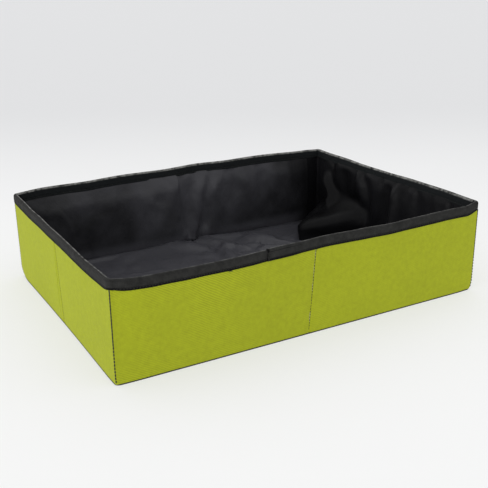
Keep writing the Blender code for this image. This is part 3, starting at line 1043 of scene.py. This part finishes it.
class Bag:
    """The loose lining: a bag pinned under the rim, let fall into its own folds.

    It is worked out on a lattice of the straight tray's inside, and its pieces read it."""

    def __init__(self):
        inset = LINING_OUTER + size.lining_thickness * 1.5
        self.reach = Vector((LENGTH / 2 - inset, WIDTH / 2 - inset))
        self.base = FLOOR_LEVEL + size.lining_thickness
        self.top = COVER_TOP
        self.counts = [round(2 * reach / size.bag_cell) for reach in self.reach]
        self.rows = round((self.top - self.base) / size.bag_cell)
        self.rise = (self.top - self.base) / self.rows
        self.rest = {}
        obj = self.sheet()
        self.drop(obj)
        self.hold = {}
        for key, index in self.rest.items():
            self.hold[key] = self.restrain(self.place(key), obj.data.vertices[index].co)
        bpy.data.objects.remove(obj, do_unlink=True)

    def steps(self, point):
        """A place in steps of the lattice, along X, along Y and up."""
        flat = zip(point, self.reach, self.counts)
        steps = [(value + reach) / (2 * reach) * count for value, reach, count in flat]
        return steps + [(point.z - self.base) / self.rise]

    def place(self, key):
        """The straight place of a lattice point."""
        x, y = (reach * (2 * step / count - 1) for step, reach, count in zip(key, self.reach, self.counts))
        return Vector((x, y, self.base + self.rise * key[2]))

    def sheet(self):
        """The bag before it falls, with its main folds drawn in."""
        bm = bmesh.new()
        middle, half = (self.top + self.base) / 2, (self.top - self.base) / 2
        floor = Matrix.Translation((0, 0, self.base)) @ Matrix.Diagonal((*self.reach, 1, 1))
        count_x, count_y = self.counts
        bmesh.ops.create_grid(bm, x_segments=count_x, y_segments=count_y, size=1.0, matrix=floor)
        upright = Matrix.Rotation(radians(90), 4, "X")
        for turn in (0, 2, 1, 3):
            axis = turn % 2
            away = Matrix.Translation((0, -self.reach[1 - axis], middle))
            stand = Matrix.Rotation(radians(90) * turn, 4, "Z") @ away
            wall = stand @ upright @ Matrix.Diagonal((self.reach[axis], half, 1, 1))
            count = self.counts[axis]
            bmesh.ops.create_grid(bm, x_segments=count, y_segments=self.rows, size=1.0, matrix=wall)
        bmesh.ops.remove_doubles(bm, verts=bm.verts, dist=0.001)
        bmesh.ops.recalc_face_normals(bm, faces=bm.faces)
        bm.verts.index_update()
        for vert in bm.verts:
            key = tuple(round(step) for step in self.steps(vert.co))
            self.rest[key] = vert.index
            straight = self.place(key)
            vert.co = self.folded(straight) - Vector((self.slump(straight), 0, 0))
        return mesh_object("bag", bm)

    def folded(self, point):
        """A place of the straight bag, moved by the main folds."""
        moved = point.copy()
        for (wall, half), folds in FOLD_SHARES.items():
            across, along = (1, 0) if wall in LONG_WALLS else (0, 1)
            sign = -1 if wall in ("front", "left") else 1
            half_sign = -1 if half in ("front", "left") else 1
            off_wall = abs(point[across] - sign * self.reach[across]) > TINY
            if off_wall or point[along] * half_sign < 0:
                continue
            # Along runs counterclockwise: +X in front, +Y right, -X at the back, -Y left
            forward = -sign if across == 1 else sign
            extent = Vector((self.reach[along], TAPE_FOOT - self.base))
            start = 0 if half_sign == forward else -self.reach[along]
            on_panel = Vector((point[along] * forward - start, point.z - self.base))
            moved[across] -= sign * fold_lift(on_panel, extent, folds, size.fold_height, size.fold_width)
        if point.z < self.base + TINY:
            height, width = size.floor_fold_height, size.floor_fold_width
            on_floor = point.xy + self.reach
            moved.z += fold_lift(on_floor, self.reach * 2, FLOOR_FOLD_SHARES, height, width)
        return moved

    def slump(self, point):
        """How far the right wall's lining slumps over the floor, which makes way."""
        wide = bell(point.y - size.slump_place, size.slump_width)
        rise = smooth_step((point.z - SLUMP_FOOT) / (size.slump_height - SLUMP_FOOT))
        return size.slump * wide * (1 - rise) * max(point.x / self.reach.x, 0) ** 2

    def drop(self, obj):
        """Lets the bag fall, a little larger than the tray, onto a box of the tray's inside."""
        pinned = [index for key, index in self.rest.items() if self.place(key).z > TAPE_FOOT]
        obj.vertex_groups.new(name="rim").add(pinned, 1.0, "REPLACE")
        bm = bmesh.new()
        bmesh.ops.create_cube(bm, size=2.0)
        half = (self.reach.x + BOX_ROOM, self.reach.y + BOX_ROOM, BOX_HALF)
        bmesh.ops.scale(bm, vec=half, verts=bm.verts)
        bmesh.ops.translate(bm, vec=(0, 0, BOX_HALF + self.base - BOX_SINK), verts=bm.verts)
        bmesh.ops.reverse_faces(bm, faces=bm.faces)
        box = mesh_object("inside", bm)
        box.modifiers.new("Collision", "COLLISION")
        box.collision.thickness_outer = 0.0008
        box.collision.cloth_friction = 5
        cloth = obj.modifiers.new("Cloth", "CLOTH")
        cloth.settings.quality = 4
        cloth.settings.mass = 0.3
        cloth.settings.bending_stiffness = size.bag_bending
        cloth.settings.vertex_group_mass = "rim"
        cloth.settings.shrink_min = -size.bag_ease
        cloth.collision_settings.distance_min = 0.001
        scene = bpy.context.scene
        for frames in (cloth.point_cache, scene):
            frames.frame_start = 1
            frames.frame_end = BAG_FRAMES
        for step in range(1, BAG_FRAMES + 1):
            scene.frame_set(step)
        fallen = obj.evaluated_get(bpy.context.evaluated_depsgraph_get()).to_mesh()
        places = [vert.co.copy() for vert in fallen.vertices]
        obj.modifiers.clear()
        for vert, place in zip(obj.data.vertices, places):
            vert.co = place
        bpy.data.objects.remove(box, do_unlink=True)
        scene.frame_set(1)

    def restrain(self, rest, moved):
        """Keeps a fallen place inside the tray, and where the walls fold, close to its board."""
        held = Vector((0, 0, max(moved.z, self.base)))
        lean, lean_share = long_wall_at(rest)[1:]
        lean *= lean_share
        slack = size.fold_room + lean * LEAN_ROOM * rest.z / HEIGHT
        # Folded, the short walls' halves end short of the long walls' middles
        slack += size.middle_room * smooth_step(((LENGTH - WIDTH) / 2 - abs(rest.x)) / ROOM_FADE)
        corner = smooth_step((self.reach.y - abs(rest.y) - size.bag_cell * CORNER_STEPS / 2) / ROOM_FADE)
        middle = smooth_step((abs(rest.y) - size.strip_reach) / FOLD_FADE) if rest.x < 0 else 1
        # The lining comes out from under the tape close to it
        below = TIGHT_SHARE + (1 - TIGHT_SHARE) * smooth_step((TAPE_FOOT - rest.z) / TIGHT_HEIGHT)
        sag = size.side_sag + self.slump(Vector((self.reach.x, rest.y, 0)))
        room = size.fold_room + sag * min(corner, middle)
        if rest.x < 0:
            room = max(room - size.foot_draw, LEAST_ROOM)
        # The main folds stay as sharp as they were drawn
        moved = moved + (self.folded(rest) - rest) * size.fold_keep
        for axis, cap in ((1, slack * below), (0, room * below)):
            sign = -1 if rest[axis] < 0 else 1
            inward = sign * (rest[axis] - moved[axis])
            cap += (self.reach[axis] - abs(rest[axis])) * FLOOR_ROOM
            inward = cap * tanh(inward / cap) if inward > 0 else inward
            held[axis] = sign * min(abs(rest[axis]) - inward, self.reach[axis])
        return held

    def read(self, point):
        """The fallen place of a straight one, smoothly between the lattice points."""
        steps = self.steps(point)
        limits = (*self.counts, self.rows)
        # The two directions in which the lattice runs on here
        if steps[2] < 0.001:
            axes = (0, 1)
        else:
            axes = (0, 2) if min(steps[1], limits[1] - steps[1]) < 0.001 else (1, 2)
        key = [round(step) for step in steps]
        cells, weights = [], []
        for axis in axes:
            low = min(int(steps[axis]), limits[axis] - 1)
            cells.append([min(max(low + offset, 0), limits[axis]) for offset in (-1, 0, 1, 2)])
            weights.append(smooth_weights(steps[axis] - low))
        found = Vector((0, 0, 0))
        for first, weight in zip(cells[0], weights[0]):
            for second, other in zip(cells[1], weights[1]):
                key[axes[0]], key[axes[1]] = first, second
                found += self.hold[tuple(key)] * (weight * other)
        return found


def smooth_weights(t):
    """How much four neighbours in a row count between the middle two."""
    return (
        (-t + 2 * t ** 2 - t ** 3) / 2,
        (2 - 5 * t ** 2 + 3 * t ** 3) / 2,
        (t + 4 * t ** 2 - 3 * t ** 3) / 2,
        (t ** 3 - t ** 2) / 2,
    )


class TRAY_OT_lining(TrayStep, bpy.types.Operator):
    """Hangs the loose black lining in the tray: walls, corners and floor of one bag"""

    bl_idname = "tray.lining"
    bl_label = "Lining"

    def make(self):
        self.bag = Bag()
        for quarter in QUARTERS:
            wall, half = quarter.before
            if wall not in LONG_WALLS:
                self.panel(quarter, wall, half, self.strip_start(wall), -CORNER_STEPS)
            wall, half = quarter.after
            end = -self.strip_start(wall)
            if wall in LONG_WALLS:
                end = 2 * self.middle(wall) - CORNER_STEPS
            self.panel(quarter, wall, half, CORNER_STEPS, end)
            obj = self.sheet(f"lining_corner_{quarter.name}", quarter, -CORNER_STEPS, CORNER_STEPS)
            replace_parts(obj, f"corner_lining_{quarter.name}")
            quarter.blend(obj)
        fold = -self.middle("left")
        blend_left_fold(self.sheet("lining_left_fold", QUARTERS[0], fold - STRIP_STEPS, fold + STRIP_STEPS))
        self.floor()

    def middle(self, wall):
        """Steps from a corner of the bag to the middle of a wall."""
        return self.bag.counts[0] if wall in LONG_WALLS else self.bag.counts[1]

    def strip_start(self, wall):
        """Where a short wall's panel starts: short of a folding strip, or at the wall's middle."""
        return -self.middle(wall) + (STRIP_STEPS if wall == "left" else 0)

    def step(self, wall):
        """The length of a step: half a cell of the bag."""
        return (self.bag.reach.x if wall in LONG_WALLS else self.bag.reach.y) / self.middle(wall)

    def cloth(self, name, columns, rows, place, flip=False):
        # The pieces at the right end take the nylon with painted shade
        key = "lining_right" if "right" in name else "lining"
        bm = cloth_sheet(columns, rows, place, flip)
        return new_piece(name, bm, "lining_cloth", material(key), size.lining_thickness)

    def sheet(self, name, quarter, first, last):
        """A stretch of the bag's wall, in steps from the bag's own corner."""
        bag = self.bag
        turn = quarter.matrix.to_3x3()
        before, after = quarter.before[0], quarter.after[0]
        half = {wall: self.middle(wall) * self.step(wall) for wall in (before, after)}
        corner = turn @ Vector((-half[after], -half[before], 0))

        def place(along, up):
            straight = corner + turn @ Vector((max(along, 0), max(-along, 0), up))
            for axis, reach in enumerate(bag.reach):
                straight[axis] = min(max(straight[axis], -reach), reach)
            return settle(bag.read(straight))

        columns = [step * self.step(before if step < 0 else after) for step in range(first, last + 1)]
        rows = [bag.base + bag.rise * step / 2 for step in range(2 * bag.rows + 1)]
        obj = self.cloth(name, columns, rows, place, flip=True)
        flat = (columns[-1] - columns[0], COVER_TOP - LINING_FOOT)
        return obj

    def panel(self, quarter, wall, half, start, end):
        """The lining of a long wall, or of half a short wall, which rides its wall's body."""
        whole = wall in LONG_WALLS
        halves = ("left", "right") if whole else (half,)
        obj = self.sheet(f"lining_{wall}" if whole else f"lining_{wall}_{half}", quarter, start, end)
        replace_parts(obj, *(f"{wall}_wall_lining_{name}" for name in halves))
        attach(obj, body_of(wall, half))
        if not whole:
            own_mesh(obj)

    def floor(self):
        """The lining's floor."""
        reach = self.bag.reach
        columns, rows = (
            [reach[axis] * (step / count - 1) for step in range(2 * count + 1)]
            for axis, count in enumerate(self.bag.counts)
        )

        def place(x, y):
            return settle(self.bag.read(Vector((x, y, self.bag.base))))

        obj = self.cloth("lining_floor", columns, rows, place)
        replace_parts(obj, "floor_lining")
        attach(obj, "front_wall")
        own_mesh(obj)


class TRAY_OT_boards(TrayStep, bpy.types.Operator):
    """Cuts the stiff boards, which lean as their wall does"""

    bl_idname = "tray.boards"
    bl_label = "Boards"

    def make(self):
        for quarter in QUARTERS:
            corner_end = quarter.along_at(BOARD_END)
            self.board(quarter, *quarter.before, quarter.start + BOARD_GAP, -corner_end)
            self.board(quarter, *quarter.after, corner_end, quarter.end - BOARD_GAP)

    def board(self, quarter, wall, half, start, end):
        def place(along, up):
            if wall == "front":
                middle = quarter.start if quarter.before[0] == wall else quarter.end
                along -= size.crease_slant * (1 - up / HEIGHT) * (1 - abs(along - middle) / abs(middle))
            return quarter.place(along, BOARD_OUTER, up)

        bm = cloth_sheet(spread(start, end, BOARD_CELL), spread(BOARD_FOOT, BOARD_TOP, BOARD_CELL), place)
        thickness = BOARD_INNER - BOARD_OUTER
        obj = new_piece(f"board_{wall}_{half}", bm, "stiff_board", material("board"), thickness)
        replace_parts(obj, f"{wall}_wall_board_{half}")
        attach(obj, body_of(wall, half))


class TRAY_OT_bottom(TrayStep, bpy.types.Operator):
    """Lays the black bottom cloth, with rounded corners"""

    bl_idname = "tray.bottom"
    bl_label = "Bottom cloth"

    def make(self):
        thickness = COVER_FOOT
        reach = Vector((LENGTH / 2 - COVER_OUTER, WIDTH / 2 - COVER_OUTER))
        bm = bmesh.new()
        bmesh.ops.create_grid(bm, x_segments=60, y_segments=44, size=1.0)
        for vert in bm.verts:
            vert.co = Vector((vert.co.x * reach.x, vert.co.y * reach.y, thickness))
        corners = [vert for vert in bm.verts if all(abs(vert.co[axis]) == reach[axis] for axis in (0, 1))]
        bmesh.ops.bevel(
            bm,
            geom=corners,
            offset=size.bottom_radius * 0.6,
            segments=4,
            profile=0.5,
            affect="VERTICES",
            material=-1,
        )
        draw_uv(bm, lambda vert: vert.co.xy)
        for vert in bm.verts:
            vert.co = settle(vert.co)
        obj = new_piece("bottom_cloth", bm, "bottom_cloth", material("bottom"), thickness)
        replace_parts(obj, "bottom_panel")
        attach(obj, "front_wall")
        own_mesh(obj)


class TRAY_OT_stitches(TrayStep, bpy.types.Operator):
    """Sews the tape, the corners and the middle creases with black thread"""

    bl_idname = "tray.stitches"
    bl_label = "Stitches"

    def make(self):
        for quarter in QUARTERS:
            self.tape_rows(quarter)
            self.corner_row(quarter)
        for quarter in QUARTERS:
            self.crease_row(quarter)
        self.lap_stitches()

    def thread(self, name, bm):
        return new_piece(name, bm, "binding_tape", material("thread"))

    def tape_rows(self, quarter):
        """The tape's outer and inner row."""
        bm = bmesh.new()
        sink = size.thread_radius * 0.2
        places = spread(*quarter.ends(), size.stitch_pitch)
        for across in (size.stitch_rise, tape_length() - size.stitch_rise):
            depth, up, side = tape_profile(across)
            stitch_row(bm, [quarter.place(along, depth - side * sink, up) for along in places])
        quarter.blend(self.thread(f"tape_stitches_{quarter.name}", bm))

    def corner_row(self, quarter):
        """The corner's stitches: heavy beads above, a close row below."""
        bm = bmesh.new()
        places = spread(TAPE_FOOT + 0.002, 0.003, size.corner_pitch)
        row = [quarter.place(0, COVER_OUTER - 0.0002, up, size.cover_radius) for up in places]
        beaded = len(row) * 3 // 5
        stitch_row(bm, row[:beaded + 1], thickness=2.3, fill=1.5)
        stitch_row(bm, row[beaded:], thickness=2.6, fill=0.95)
        quarter.blend(self.thread(f"corner_stitches_{quarter.name}", bm))

    def crease_row(self, quarter):
        """The stitches down the middle crease of a wall."""
        wall, half = quarter.after
        if wall == "left":
            quarter = QUARTERS[0]
        bm = bmesh.new()
        row = []
        for up in spread(TAPE_FOOT - 0.001, 0.005, size.crease_pitch):
            slant = front_slant(up) if wall == "front" else 0
            along = left_crease(quarter, up) if wall == "left" else quarter.end - slant
            row.append(quarter.place(along, COVER_OUTER + size.crease_depth * 0.8, up))
        stitch_row(bm, row, thickness=1.3, fill=0.85)
        obj = self.thread(f"crease_stitches_{wall}", bm)
        if wall == "left":
            blend_left_fold(obj)
        else:
            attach(obj, body_of(wall, half))

    def lap_stitches(self):
        """The bar tack at the end of the lapped tape."""
        quarter = QUARTERS[1]
        bm = bmesh.new()
        start = lap_start()
        over = -size.tape_thickness - size.tape_puff
        for along in (start - 0.0004, start + 0.0010):
            row = [quarter.place(along, over, up) for up in spread(TAPE_FOOT, HEIGHT - 0.002, 0.0016)]
            stitch_row(bm, row, thickness=1.6, fill=0.9)
        # A few loose stitches on the rim, and a thread's end under the tape
        for along in RIM_STITCHES:
            row = [quarter.place(start + along + step, -0.0007, HEIGHT + 0.0008) for step in (0, 0.0014)]
            stitch_row(bm, row, thickness=2.2, fill=1.0)
        row = []
        for step in range(4):
            row.append(quarter.place(start - 0.050 + step * 0.0016, -0.0006, TAPE_FOOT - 0.0002 * step))
        stitch_row(bm, row, thickness=1.8, fill=1.0)
        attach(self.thread("lap_stitches", bm), "front_wall")


class TRAY_OT_stage(TrayStep, bpy.types.Operator):
    """Sets the pale floor, the soft lamps and the camera"""

    bl_idname = "tray.stage"
    bl_label = "Stage"

    def make(self):
        self.floor()
        self.lamps()
        self.camera()
        bpy.context.scene.view_settings.view_transform = "Standard"

    def floor(self):
        bm = bmesh.new()
        bmesh.ops.create_grid(bm, x_segments=8, y_segments=8, size=20)
        finish = Finish("Studio floor", 0.9, Specular_IOR_Level=0.1, Emission_Strength=1.0)
        far = (finish.axis(0) * 0.5 + finish.axis(1) * 0.87).between(-0.05, 1.35)
        shade = far + (finish.speckle(9, detail=3.0, roughness=0.6) - 0.5) * 0.03
        # The floor glows a little, which softens the tray's shadow
        for socket, share in (("Base Color", 1 - FLOOR_GLOW), ("Emission Color", FLOOR_GLOW)):
            finish.set(socket, finish.mix(shade, tone(color.floor, share), tone(color.backdrop, share)))
        new_piece("studio_floor", bm, "cover_cloth", finish.material)

    def lamps(self):
        world = bpy.data.worlds.new("Studio")
        world.use_nodes = True
        bpy.context.scene.world = world
        background = world.node_tree.nodes["Background"]
        background.inputs["Color"].default_value = (1.0, 1.0, 1.0, 1.0)
        background.inputs["Strength"].default_value = 1.0
        lamp = bpy.data.lights.new("Side light", "SUN")
        lamp.energy = LAMP_STRENGTH
        lamp.angle = radians(LAMP_SIZE)
        turn = Vector(LAMP_FROM).to_track_quat("Z", "Y").to_euler()
        add_object("Side light", lamp).rotation_euler = turn

    def camera(self):
        yaw, pitch, roll = (radians(turn) for turn in CAMERA_TURNS)
        forward = Vector((cos(pitch) * cos(yaw), cos(pitch) * sin(yaw), -sin(pitch)))
        right = Vector((sin(yaw), -cos(yaw), 0))
        up = right.cross(forward)
        level = Matrix((right, up, -forward)).transposed()
        camera = bpy.data.cameras.new("Camera")
        camera.lens = CAMERA_LENS
        camera.sensor_width = 36.0
        camera.clip_start = 0.05
        camera.clip_end = 100
        obj = add_object("Camera", camera)
        turned = (level @ Matrix.Rotation(roll, 3, "Z")).to_4x4()
        obj.matrix_world = Matrix.Translation(CAMERA_PLACE) @ turned
        bpy.context.scene.camera = obj


OPERATORS = (
    TRAY_OT_boards,
    TRAY_OT_cover,
    TRAY_OT_tape,
    TRAY_OT_lining,
    TRAY_OT_bottom,
    TRAY_OT_stitches,
    TRAY_OT_stage,
)


class TRAY_PT_panel(bpy.types.Panel):
    """Lists the tray's operators and sizes"""

    bl_idname = "TRAY_PT_panel"
    bl_label = "Fabric litter tray"
    bl_space_type = "VIEW_3D"
    bl_region_type = "UI"
    bl_category = "Tray"

    def draw(self, context):
        layout = self.layout
        for operator in OPERATORS:
            layout.operator(operator.bl_idname)
        for group in (context.scene.tray_shape, context.scene.tray_colors):
            for name in group.__annotations__:
                layout.prop(group, name)


CLASSES = (TrayShape, TrayColors, *OPERATORS, TRAY_PT_panel)


def register():
    for cls in CLASSES:
        bpy.utils.register_class(cls)
    bpy.types.Scene.tray_shape = PointerProperty(type=TrayShape)
    bpy.types.Scene.tray_colors = PointerProperty(type=TrayColors)


def unregister():
    del bpy.types.Scene.tray_colors
    del bpy.types.Scene.tray_shape
    for cls in reversed(CLASSES):
        bpy.utils.unregister_class(cls)


def main():
    register()
    for operator in OPERATORS:
        group, name = operator.bl_idname.split(".")
        getattr(getattr(bpy.ops, group), name)()


if __name__ == "__main__":
    main()
